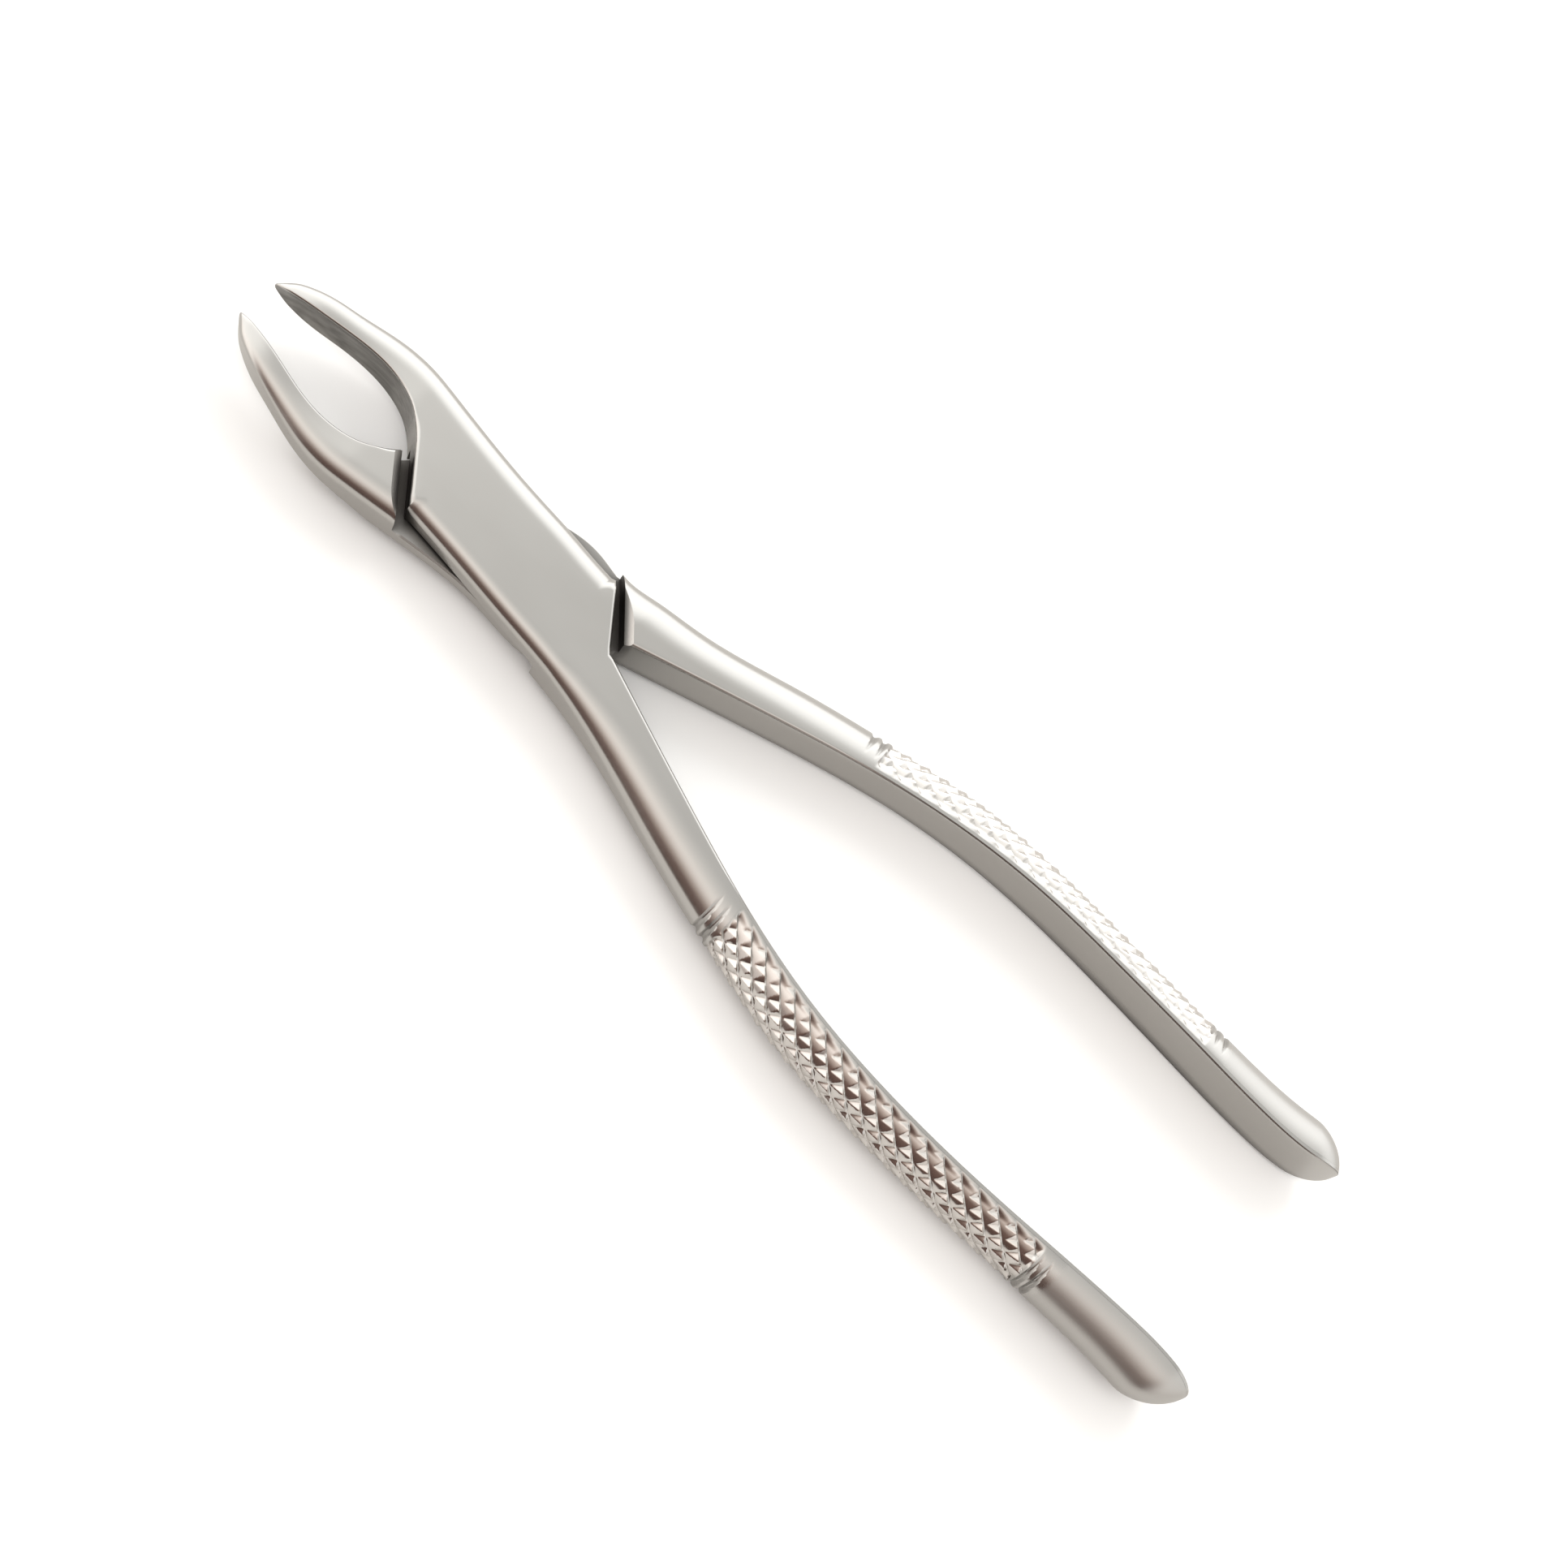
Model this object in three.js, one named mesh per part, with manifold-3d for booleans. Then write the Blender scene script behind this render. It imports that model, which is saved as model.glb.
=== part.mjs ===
// Extraction forceps: two forged halves that cross in a lap joint and turn on a flush pivot screw.
// Millimetres. The pivot axis is Z, the beaks point to +X, and z = 0 is the joint's flat top face.
// Each half is worked out about the joint's mid-plane, with its handle at +Y and its beak at -Y.
import * as THREE from 'three';
import { mergeVertices } from 'three/addons/utils/BufferGeometryUtils.js';
import Module from 'manifold-3d';

// Overall and joint
const JOINT_HALF_THICKNESS = 4.15;
const PLATE_GAP = 0.1;
const HANDLE_END_X = -133.9;
const BEAK_TIP_X = 44.6;
const GRIP_FRONT_X = -52;
const BEAK_RISE_START_X = 16;
const BEAK_TOP_START_X = 22;
const EDGE_ROUND = { y: 2.6, z: 2 };
const BACK_ROUND = { y: 3.4, z: 2.3 };
const BEAK_CREST = { acrossShare: 0.75, z: 1 };
const SHOULDER_CHAMFER = 1;
const SHARP_EDGE = 0.35;
const INNER_EDGE = 0.6;
const BEAK_HOLLOW = 0.7;
const BEAK_CREST_START_X = 26;
const FULL_ROUND_SHARE = 0.97;
const HOLLOW_SPAN = { start: 22, full: 28, fade: 40 };

// The slanted edges of each half's plate, and the shoulders that stand beyond the other plate
const REAR_EDGE = [[-17.7, 1.1], [-11.6, -6.95]];
const FRONT_EDGE = [[12.8, 6.1], [18.2, -0.6]];
const REAR_SHOULDER = [[-18.3, 1], [-12.3, 7.8]];
const FRONT_SHOULDER = [[12.2, -9], [18.8, -0.8]];
const SHARP_BEAK_START_X = FRONT_EDGE[1][0] + 2;
const SHOULDER_REACH = 10;
const CORNER_TOLERANCE = 0.01;

// Pivot screw: its head lies flush in the lower half and its shank ends blind in the upper half
const SHANK_RADIUS = 2.4;
const SHANK_CLEARANCE = 0.06;
const HEAD_RADIUS = 3.9;
const HEAD_HEIGHT = 1.2;
const BLIND_COVER = 1.2;
const SLOT_WIDTH = 1;
const SLOT_DEPTH = 0.6;
const SLOT_TURN = Math.PI / 5;
const HEAD_BEVEL = 0.2;
const SHANK_BEVEL = 0.4;
const BORE_OVERRUN = 1;
const AXIAL_CLEARANCE = 0.1;
const ROUND_SEGMENTS = 64;

// Mesh fineness
const CORNER_STEPS = 5;
const FACE_STEPS = 4;
const END_STEPS = 7;
const STATION_PITCH = 3;

// The round ends: how far along X they reach, how blunt they are (1 is an ellipse), and where they run
// out, as shares of the half's width and height there
const HANDLE_END = { reach: 5, bluntness: 0.8, across: 0.12, up: 0.6 };
const BEAK_END = { reach: 2.4, bluntness: 0.7, across: 0.7, up: 0.5 };
const SMALLEST_RING = 0.12;

// The handle's end face slants, so that it is longest where its flat inner side meets its outward face
const END_SLANT = { start: -118, inner: -0.3, perWidth: 0.42, perHeight: -0.12 };

const wasm = await Module();
wasm.setup();

// A value along X. Each run is smooth through its [x, value] points, and runs meet in a corner.
function profile(...runs) {
  const pieces = runs.map((run) => {
    const xs = Float32Array.from(run, (point) => point[0]);
    const values = Float32Array.from(run, (point) => point[1]);
    const Kind = run.length > 2 ? THREE.CubicInterpolant : THREE.LinearInterpolant;
    return { last: xs[xs.length - 1], curve: new Kind(xs, values, 1) };
  });
  return (x) => {
    const piece = pieces.find((candidate) => x <= candidate.last + 1e-4) ?? pieces[pieces.length - 1];
    return piece.curve.evaluate(x)[0];
  };
}

// -Y boundary: flat inner face of the handle, rear edge of the plate, back of the beak
const handleInner = [[HANDLE_END_X, 18], [-129, 16.8], [-122, 16.35], [-108, 16.8], [-94, 17.25],
  [-80, 17.1], [-66, 15.65], [-52, 12.5], [-38, 8.1], [-24, 3.3], REAR_EDGE[0]];
const beakTipBack = [[35, -8.15], [38, -7.25], [41, -6.05], [43, -4.9], [BEAK_TIP_X, -3.5]];

// +Y boundary: convex back of the handle, front edge of the plate, inner face of the beak
const handleBack = [[HANDLE_END_X, 23.4], [-129, 22.9], [-122, 22.45], [-108, 22.5], [-94, 22.9],
  [-80, 22.9], [-66, 21.9], [-52, 18.8], [-38, 14.9], [-24, 10.7]];
const beakInner = [FRONT_EDGE[1], [20.4, -2.9], [24.5, -5], [28, -5.5], [31, -5.35], [37, -4.2],
  [BEAK_TIP_X, -2.8]];

// The halves differ in the backs of their plates and beaks, so that both plates show at the joint, and
// in how far the handle's rounding (0 for a tight edge, 1 for a full half-ellipse) runs out on the plate
function halfForm({ plateBack, beakBack, roundness }) {
  const plain = roundness[roundness.length - 1][0];
  const rounding = profile([[HANDLE_END_X, 1], roundness[0]], roundness);
  return {
    lowSide: profile(handleInner, REAR_EDGE, [REAR_EDGE[1], ...beakBack, ...beakTipBack]),
    highSide: profile([...handleBack, ...plateBack, FRONT_EDGE[0]], FRONT_EDGE, beakInner),
    handleRoundness: (x) => (x < plain ? rounding(x) : 0),
  };
}
const UPPER = halfForm({
  plateBack: [[-14, 8.6], [-5, 7.7], [4, 6.8]],
  beakBack: [[-8, -7.15], [-3, -7.6], [2, -7.9], [10, -8.6], [20, -9.95], [25, -10.4], [30, -9.7]],
  roundness: [[-60, 1], [-50, 0.95], [-38, 0.76], [-27, 0.52], [-20, 0.24], [-14, 0]],
});
const LOWER = halfForm({
  plateBack: [[-17, 9.4], [-12.5, 8.65], [-8, 9.3], [-3, 9], [4, 6.8]],
  beakBack: [[-8, -7.4], [-3, -7.15], [2, -7.1], [9, -7.9], [20, -9.65], [25, -10.1], [30, -9.45]],
  roundness: [[-60, 1], [-50, 0.95], [-38, 0.82], [-27, 0.66], [-14, 0.42], [2, 0]],
});

// Top and bottom heights about the mid-plane; the beak's underside rises towards its tip
const handleTop = profile([[HANDLE_END_X, 6.6], [-129, 6.4], [-122, 5.9], [-108, 5.3], [-94, 4.75],
  [-80, 4.7], [-66, 4.35], [GRIP_FRONT_X, JOINT_HALF_THICKNESS]]);
const handleBottom = profile([[HANDLE_END_X, -4.2], [-129, -4.4], [-122, -4.7], [-108, -4.98],
  [-94, -4.93], [-80, -4.5], [-66, -4.2], [GRIP_FRONT_X, -JOINT_HALF_THICKNESS]]);
const beakTop = profile([[BEAK_TOP_START_X, JOINT_HALF_THICKNESS], [28, 4.05], [34, 4.3], [40, 4.6],
  [BEAK_TIP_X, 3.9]]);
const beakBottom = profile([[BEAK_RISE_START_X, -JOINT_HALF_THICKNESS], [22, -3.1], [30, -2.1], [35, -1.35],
  [41, -0.35], [BEAK_TIP_X, 1.7]]);

// How far the back of the beak is worked into its crest, from 0 to 1
const beakCrest = profile([[BEAK_CREST_START_X, 0], [32, 0.35], [38, 0.8], [42, 1]],
  [[42, 1], [BEAK_TIP_X, 1]]);

// The section at x: two sides, two heights and an elliptical corner for each side
function sectionAt(x, beakLift) {
  const half = beakLift > 0 ? UPPER : LOWER;
  const low = half.lowSide(x);
  const high = half.highSide(x);
  let top = JOINT_HALF_THICKNESS;
  let bottom = -JOINT_HALF_THICKNESS;
  if (x < GRIP_FRONT_X) {
    top = handleTop(x);
    bottom = handleBottom(x);
  }
  if (x > BEAK_TOP_START_X) top = beakTop(x);
  if (x > BEAK_RISE_START_X) bottom = beakBottom(x);
  if (beakLift < 0) [top, bottom] = [-bottom, -top];
  const width = high - low;
  const halfHeight = (top - bottom) / 2;
  const even = (size) => ({ y: size, z: size });
  const towards = (from, to, share) => ({
    y: THREE.MathUtils.lerp(from.y, to.y, share),
    z: THREE.MathUtils.lerp(from.z, to.z, share),
  });
  const onPlate = x > REAR_EDGE[1][0] - CORNER_TOLERANCE;
  const onRearEdge = x > REAR_EDGE[0][0] && !onPlate;
  let lowCorner = onPlate ? BACK_ROUND : even(INNER_EDGE);
  if (onRearEdge) lowCorner = even(SHOULDER_CHAMFER);
  if (x > BEAK_CREST_START_X) {
    const crest = { y: width * BEAK_CREST.acrossShare, z: BEAK_CREST.z };
    lowCorner = towards(BACK_ROUND, crest, beakCrest(x));
  }
  const fullRound = { y: width * FULL_ROUND_SHARE, z: halfHeight };
  let highCorner = towards(EDGE_ROUND, fullRound, half.handleRoundness(x));
  if (x > FRONT_EDGE[0][0]) highCorner = even(SHOULDER_CHAMFER);
  if (x > SHARP_BEAK_START_X) highCorner = even(SHARP_EDGE);
  const hollow = BEAK_HOLLOW * THREE.MathUtils.smoothstep(x, HOLLOW_SPAN.start, HOLLOW_SPAN.full)
    * (1 - THREE.MathUtils.smoothstep(x, HOLLOW_SPAN.fade, BEAK_TIP_X));
  return { low, high, top, bottom, lowCorner, highCorner, hollow };
}

// Points of one section, anticlockwise from the +Y side's lower corner
function sectionPoints(section) {
  const { low, high, top, bottom, lowCorner, highCorner, hollow } = section;
  const points = [];
  const arc = (centreY, centreZ, corner, start) => {
    for (let step = 0; step <= CORNER_STEPS; step += 1) {
      const angle = start + (step / CORNER_STEPS) * (Math.PI / 2);
      points.push([centreY + corner.y * Math.cos(angle), centreZ + corner.z * Math.sin(angle)]);
    }
  };
  const face = (y, fromZ, toZ, depth) => {
    for (let step = 1; step < FACE_STEPS; step += 1) {
      const share = step / FACE_STEPS;
      const dip = depth * 4 * share * (1 - share);
      points.push([y - dip, THREE.MathUtils.lerp(fromZ, toZ, share)]);
    }
  };
  arc(high - highCorner.y, bottom + highCorner.z, highCorner, -Math.PI / 2);
  face(high, bottom + highCorner.z, top - highCorner.z, hollow);
  arc(high - highCorner.y, top - highCorner.z, highCorner, 0);
  arc(low + lowCorner.y, top - lowCorner.z, lowCorner, Math.PI / 2);
  face(low, top - lowCorner.z, bottom + lowCorner.z, 0);
  arc(low + lowCorner.y, bottom + lowCorner.z, lowCorner, Math.PI);
  return points;
}

// Where the sections stand: close together at both round ends, and one at each outline corner
function stationList() {
  const corners = [REAR_EDGE[0][0], REAR_EDGE[1][0], FRONT_EDGE[0][0], FRONT_EDGE[1][0]];
  const turnAt = (step) => (step / END_STEPS) * (Math.PI / 2);
  const swellAt = (step, end) => Math.max(SMALLEST_RING, Math.sin(turnAt(step)) ** end.bluntness);
  const stations = [];
  for (let step = 0; step < END_STEPS; step += 1) {
    const x = HANDLE_END_X + HANDLE_END.reach * (1 - Math.cos(turnAt(step)));
    stations.push({ x, swell: swellAt(step, HANDLE_END) });
  }
  const marks = [HANDLE_END_X + HANDLE_END.reach, ...corners, BEAK_TIP_X - BEAK_END.reach];
  for (let index = 0; index + 1 < marks.length; index += 1) {
    const count = Math.ceil((marks[index + 1] - marks[index]) / STATION_PITCH);
    for (let step = 0; step < count; step += 1) {
      stations.push({ x: THREE.MathUtils.lerp(marks[index], marks[index + 1], step / count), swell: 1 });
    }
  }
  for (let step = END_STEPS; step >= 0; step -= 1) {
    const x = BEAK_TIP_X - BEAK_END.reach * (1 - Math.cos(turnAt(step)));
    stations.push({ x, swell: swellAt(step, BEAK_END) });
  }
  return stations;
}

// How far a point of the handle's end is moved along X, from its distance to the inner side and height
function slantAt(x, fromInner, z) {
  const share = 1 - THREE.MathUtils.smoothstep(x, HANDLE_END_X, END_SLANT.start);
  return share * (END_SLANT.inner + END_SLANT.perWidth * fromInner + END_SLANT.perHeight * z);
}

// A closed loft: a cylinder whose rings are moved onto the sections
function halfGeometry(beakLift) {
  const stations = stationList();
  const ringSize = sectionPoints(sectionAt(0, beakLift)).length;
  const geometry = new THREE.CylinderGeometry(1, 1, 1, ringSize, stations.length - 1);
  const position = geometry.attributes.position;
  const rings = stations.map(({ x, swell }) => {
    const section = sectionAt(x, beakLift);
    const end = x < 0 ? HANDLE_END : BEAK_END;
    const up = beakLift > 0 ? end.up : 1 - end.up;
    const centre = [
      THREE.MathUtils.lerp(section.low, section.high, end.across),
      THREE.MathUtils.lerp(section.bottom, section.top, up),
    ];
    const placed = (point) => {
      const y = THREE.MathUtils.lerp(centre[0], point[0], swell);
      const z = THREE.MathUtils.lerp(centre[1], point[1], swell);
      return [x + slantAt(x, y - section.low, z), y, z];
    };
    return { centre: placed(centre), ring: sectionPoints(section).map(placed) };
  });
  for (let index = 0; index < position.count; index += 1) {
    const share = position.getY(index) + 0.5;
    const { ring, centre } = rings[Math.round(share * (rings.length - 1))];
    const onAxis = Math.hypot(position.getX(index), position.getZ(index)) < 0.5;
    const turn = Math.atan2(position.getX(index), position.getZ(index)) / (2 * Math.PI);
    const slot = (Math.round(turn * ringSize) + ringSize) % ringSize;
    position.setXYZ(index, ...(onAxis ? centre : ring[slot]));
  }
  return geometry;
}

// A closed geometry as a manifold solid
function solid(geometry, matrix = new THREE.Matrix4()) {
  const placed = geometry.clone().applyMatrix4(matrix);
  placed.deleteAttribute('normal');
  placed.deleteAttribute('uv');
  const merged = mergeVertices(placed, 1e-4);
  const vertProperties = Float32Array.from(merged.attributes.position.array);
  const triVerts = Uint32Array.from(merged.index.array);
  return new wasm.Manifold(new wasm.Mesh({ numProp: 3, vertProperties, triVerts }));
}

function cylinder(radius, bottom, top) {
  const geometry = new THREE.CylinderGeometry(radius, radius, top - bottom, ROUND_SEGMENTS);
  geometry.rotateX(Math.PI / 2);
  geometry.translate(0, 0, (top + bottom) / 2);
  return solid(geometry);
}

// The space that the other half's plate turns in
function plateRoom() {
  const extend = ([from, to]) => {
    const along = new THREE.Vector2(to[0] - from[0], to[1] - from[1]).setLength(SHOULDER_REACH);
    return [[from[0] - along.x, from[1] - along.y], [to[0] + along.x, to[1] + along.y]];
  };
  const outline = [...extend(REAR_SHOULDER), ...extend(FRONT_SHOULDER).reverse()];
  const room = new THREE.Shape(outline.map(([x, y]) => new THREE.Vector2(x, y)));
  const depth = JOINT_HALF_THICKNESS * 2;
  const geometry = new THREE.ExtrudeGeometry(room, { depth, bevelEnabled: false });
  geometry.translate(0, 0, PLATE_GAP / 2 - depth);
  return solid(geometry);
}

// A square bar laid on a shoulder's outer edge, turned so that it cuts a chamfer
function chamferBar([from, to]) {
  const side = SHOULDER_CHAMFER * Math.SQRT2;
  const length = Math.hypot(to[0] - from[0], to[1] - from[1]) + SHOULDER_REACH;
  const geometry = new THREE.BoxGeometry(length, side, side);
  geometry.rotateX(Math.PI / 4);
  geometry.rotateZ(Math.atan2(to[1] - from[1], to[0] - from[0]));
  geometry.translate((from[0] + to[0]) / 2, (from[1] + to[1]) / 2, -JOINT_HALF_THICKNESS);
  return solid(geometry);
}

function forgedHalf(beakLift) {
  return solid(halfGeometry(beakLift))
    .subtract(plateRoom())
    .subtract(chamferBar(REAR_SHOULDER))
    .subtract(chamferBar(FRONT_SHOULDER));
}

function upperHalf() {
  const boreTop = JOINT_HALF_THICKNESS - BLIND_COVER;
  return forgedHalf(1).subtract(cylinder(SHANK_RADIUS + SHANK_CLEARANCE, -BORE_OVERRUN, boreTop));
}

// The same forging turned over about X, with its beak bent the other way, bored for the screw
function lowerHalf() {
  const underside = -JOINT_HALF_THICKNESS;
  const seat = underside + HEAD_HEIGHT + AXIAL_CLEARANCE;
  return forgedHalf(-1)
    .rotate([180, 0, 0])
    .subtract(cylinder(SHANK_RADIUS + SHANK_CLEARANCE, underside - BORE_OVERRUN, BORE_OVERRUN))
    .subtract(cylinder(HEAD_RADIUS + SHANK_CLEARANCE, underside - BORE_OVERRUN, seat));
}

function pivotScrew() {
  const underside = -JOINT_HALF_THICKNESS;
  const end = JOINT_HALF_THICKNESS - BLIND_COVER - AXIAL_CLEARANCE;
  const outline = [[0, underside], [HEAD_RADIUS - HEAD_BEVEL, underside],
    [HEAD_RADIUS, underside + HEAD_BEVEL], [HEAD_RADIUS, underside + HEAD_HEIGHT],
    [SHANK_RADIUS, underside + HEAD_HEIGHT], [SHANK_RADIUS, end - SHANK_BEVEL],
    [SHANK_RADIUS - SHANK_BEVEL, end], [0, end]];
  const points = outline.map(([radius, height]) => new THREE.Vector2(radius, height));
  const body = new THREE.LatheGeometry(points, ROUND_SEGMENTS).rotateX(Math.PI / 2);
  const slot = new THREE.BoxGeometry(HEAD_RADIUS * 3, SLOT_WIDTH, SLOT_DEPTH * 2);
  slot.rotateZ(SLOT_TURN).translate(0, 0, underside);
  return solid(body).subtract(solid(slot));
}

function meshOf(name, body, color, roughness) {
  const { vertProperties, triVerts } = body.getMesh();
  const geometry = new THREE.BufferGeometry();
  geometry.setAttribute('position', new THREE.BufferAttribute(Float32Array.from(vertProperties), 3));
  geometry.setIndex(new THREE.BufferAttribute(Uint32Array.from(triVerts), 1));
  geometry.computeVertexNormals();
  const mesh = new THREE.Mesh(geometry, new THREE.MeshStandardMaterial({ color, roughness, metalness: 1 }));
  mesh.name = name;
  return mesh;
}

const forceps = new THREE.Group();
forceps.position.z = -JOINT_HALF_THICKNESS;
forceps.add(
  meshOf('upper_half', upperHalf(), '#c9c5be', 0.3),
  meshOf('lower_half', lowerHalf(), '#c4c0b9', 0.3),
  meshOf('pivot_screw', pivotScrew(), '#b8b5b0', 0.35),
);

export default forceps;
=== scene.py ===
"""Extraction forceps: two knurled stainless halves on a pivot screw, lying on a plain pale floor."""

import math

import bpy
import numpy as np
from mathutils import Matrix, Vector


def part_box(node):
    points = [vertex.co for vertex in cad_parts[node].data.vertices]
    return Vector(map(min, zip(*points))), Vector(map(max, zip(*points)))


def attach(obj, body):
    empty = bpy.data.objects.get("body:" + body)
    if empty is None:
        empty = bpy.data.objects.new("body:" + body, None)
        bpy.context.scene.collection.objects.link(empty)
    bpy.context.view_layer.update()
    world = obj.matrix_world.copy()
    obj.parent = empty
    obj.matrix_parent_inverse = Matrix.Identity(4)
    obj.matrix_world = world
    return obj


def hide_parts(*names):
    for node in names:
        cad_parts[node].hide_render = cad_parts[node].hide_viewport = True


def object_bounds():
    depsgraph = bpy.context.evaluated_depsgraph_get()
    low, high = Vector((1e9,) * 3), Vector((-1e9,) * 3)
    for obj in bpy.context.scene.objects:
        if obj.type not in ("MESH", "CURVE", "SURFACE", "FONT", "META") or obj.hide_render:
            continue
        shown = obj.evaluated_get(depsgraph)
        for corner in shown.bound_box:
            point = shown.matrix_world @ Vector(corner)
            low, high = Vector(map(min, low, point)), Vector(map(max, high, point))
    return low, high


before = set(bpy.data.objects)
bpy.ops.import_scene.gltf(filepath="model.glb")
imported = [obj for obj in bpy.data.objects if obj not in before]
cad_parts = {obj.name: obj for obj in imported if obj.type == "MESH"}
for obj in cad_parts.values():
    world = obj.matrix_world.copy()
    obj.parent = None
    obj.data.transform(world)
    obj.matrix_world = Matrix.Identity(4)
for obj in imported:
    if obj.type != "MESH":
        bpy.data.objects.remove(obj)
cad_low, cad_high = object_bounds()

MM = 0.001

# The outline that the CAD halves have, in millimetres about the joint's mid-plane: pivot at x = 0,
# handle at +y and beak at -y.
JOINT_HALF = 4.15
PLATE_GAP = 0.1
HANDLE_END = -133.9
BEAK_TIP = 44.6
EDGE_ROUND = (2.6, 2.0)
BACK_ROUND = (3.4, 2.3)
BEAK_CREST_START = 26
BEAK_CREST_ACROSS, BEAK_CREST_UP = 0.75, 1.0
FULL_ROUND_SHARE = 0.97
SHOULDER_CHAMFER = 1.0
SHARP_EDGE = 0.35
INNER_EDGE = 0.6
BEAK_HOLLOW = 0.7
BEAK_HOLLOW_START, BEAK_HOLLOW_FADE = (22, 28), (40, BEAK_TIP)
HANDLE_HEIGHTS_END, BEAK_BOTTOM_START, BEAK_TOP_START = -52, 16, 22
REAR_EDGE = [(-17.7, 1.1), (-11.6, -6.95)]
FRONT_EDGE = [(12.8, 6.1), (18.2, -0.6)]
REAR_SHOULDER = [(-18.3, 1.0), (-12.3, 7.8)]
FRONT_SHOULDER = [(12.2, -9.0), (18.8, -0.8)]

# An edge's rounding changes within this much of a corner of the outline, to either side of it. At the
# beak's root the change starts and ends that far past the corner.
PLATE_CHANGE, SLANT_CHANGE = 0.4, 0.3
BEAK_CHANGE = (0.5, 3)

# Pivot screw
SHANK_RADIUS = 2.4
SHANK_CLEARANCE = 0.06
HEAD_RADIUS = 3.9
HEAD_HEIGHT = 1.2
BLIND_COVER = 1.2
SLOT_WIDTH = 1.0
SLOT_DEPTH = 0.6
AXIAL_CLEARANCE = 0.1
HEAD_ROUND_IN, HEAD_ROUND_UP = (0.22, 0.08), (0.05, 0.2)
SHANK_CHAMFER = 0.4
SLOT_TURN = math.pi / 5

# How far the cutters reach past what they cut, and the slot's cutter from the axis, in head radii
ROOM_OVERRUN, BAR_OVERRUN, BORE_OVERRUN = 10, 4, 1
SLOT_CUTTER_REACH = 1.5

# Fineness of the lofted halves
FINE_PITCH = 0.17
COARSE_PITCH = 0.7
FINE_SPAN = (-112.0, -48.0)
BACK_ARC_STEPS = 30
BACK_FACE_STEPS = 47
BACK_STEPS = 2 * BACK_ARC_STEPS + BACK_FACE_STEPS
INNER_ARC_STEPS = 16
INNER_FACE_STEPS = 10
FLAT_STEPS = 6
ROUND_END_STEPS = 16
EVEN_SPACING_FADE = (-58, -22)

# The round ends: reach along x, bluntness, and where they run out, as shares of width and height. No
# section there is drawn smaller than LEAST_SWELL of its size. The slant moves the handle's end along x.
LEAST_SWELL = 0.05
HANDLE_END_ROUND, HANDLE_END_BLUNT, HANDLE_END_ACROSS, HANDLE_END_UP = 5.0, 0.8, 0.12, 0.6
BEAK_END_ROUND, BEAK_END_BLUNT, BEAK_END_ACROSS, BEAK_END_UP = 2.4, 0.7, 0.7, 0.5
SLANT_START, SLANT_INNER, SLANT_WIDTH, SLANT_HEIGHT = -118.0, -0.3, 0.42, -0.12

# Knurl: a family of saw-tooth cuts crossed by a family of V cuts. Their pitches are whole numbers of
# fine steps, so that every tooth is sampled alike and the creases run along the mesh's diagonals.
KNURL_SPAN = (-108.3, -51.6)
SAW_PITCH, SAW_DEPTH = 18, 0.52
CROSS_PITCH, CROSS_DEPTH = 16, 0.46
CROSS_RUN_OUT = (0.2, 0.44)
CROSS_LEAST_SHARE = 0.68
KNURL_MARGIN = 0.02
KNURL_FADE = 0.085
KNURL_RUN_OUT = 0.5

# Ring grooves: place, half width and depth. At the back's edges they would lean that far along x, but
# they run out at RING_REACH of the way from its crown to its edges.
RINGS = [(-110.3, 0.52, 0.42), (-108.9, 0.52, 0.38), (-50.75, 0.52, 0.42), (-49.25, 0.52, 0.38)]
RING_LEAN = 0.4
RING_REACH = 0.84

# The handle's back is left matt beyond the ring grooves, and the beak's inner face is left rougher
BLASTED_FADE = (-112.0, -111.0)
GRIPPING_START = (19.0, 22.0)

# The small bevel that breaks each plate's edge where the two plates meet
BEVEL_SPAN = (-11.4, 12.0)
BEVEL_DEPTH = 0.28
BEVEL_HEIGHT = 0.4
BEVEL_RUN_OUT = 0.6


def smoothstep(start, stop, x):
    share = np.clip((x - start) / (stop - start), 0.0, 1.0)
    return share * share * (3 - 2 * share)


def natural_spline(points):
    """A smooth curve through (x, value) points, straight where there are only two."""
    xs, ys = np.array(points, float).T
    count = len(xs)
    bend = np.zeros(count)
    if count > 2:
        step = np.diff(xs)
        matrix = np.diag(2 * (step[:-1] + step[1:]))
        matrix += np.diag(step[1:-1], 1) + np.diag(step[1:-1], -1)
        slope = np.diff(ys) / step
        bend[1:-1] = np.linalg.solve(matrix, 6 * np.diff(slope))

    def value(x):
        index = np.clip(np.searchsorted(xs, x) - 1, 0, count - 2)
        width = xs[index + 1] - xs[index]
        before = xs[index + 1] - x
        after = x - xs[index]
        curve = (bend[index] * before**3 + bend[index + 1] * after**3) / (6 * width)
        left = (ys[index] / width - bend[index] * width / 6) * before
        right = (ys[index + 1] / width - bend[index + 1] * width / 6) * after
        return curve + left + right

    return value


def profile(*runs):
    """Smooth runs that meet in corners."""
    curves = [natural_spline(run) for run in runs]
    ends = [run[-1][0] for run in runs[:-1]]

    def value(x):
        x = np.asarray(x, float)
        which = np.searchsorted(ends, x, side="left")
        return np.choose(which, [curve(x) for curve in curves])

    return value


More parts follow.
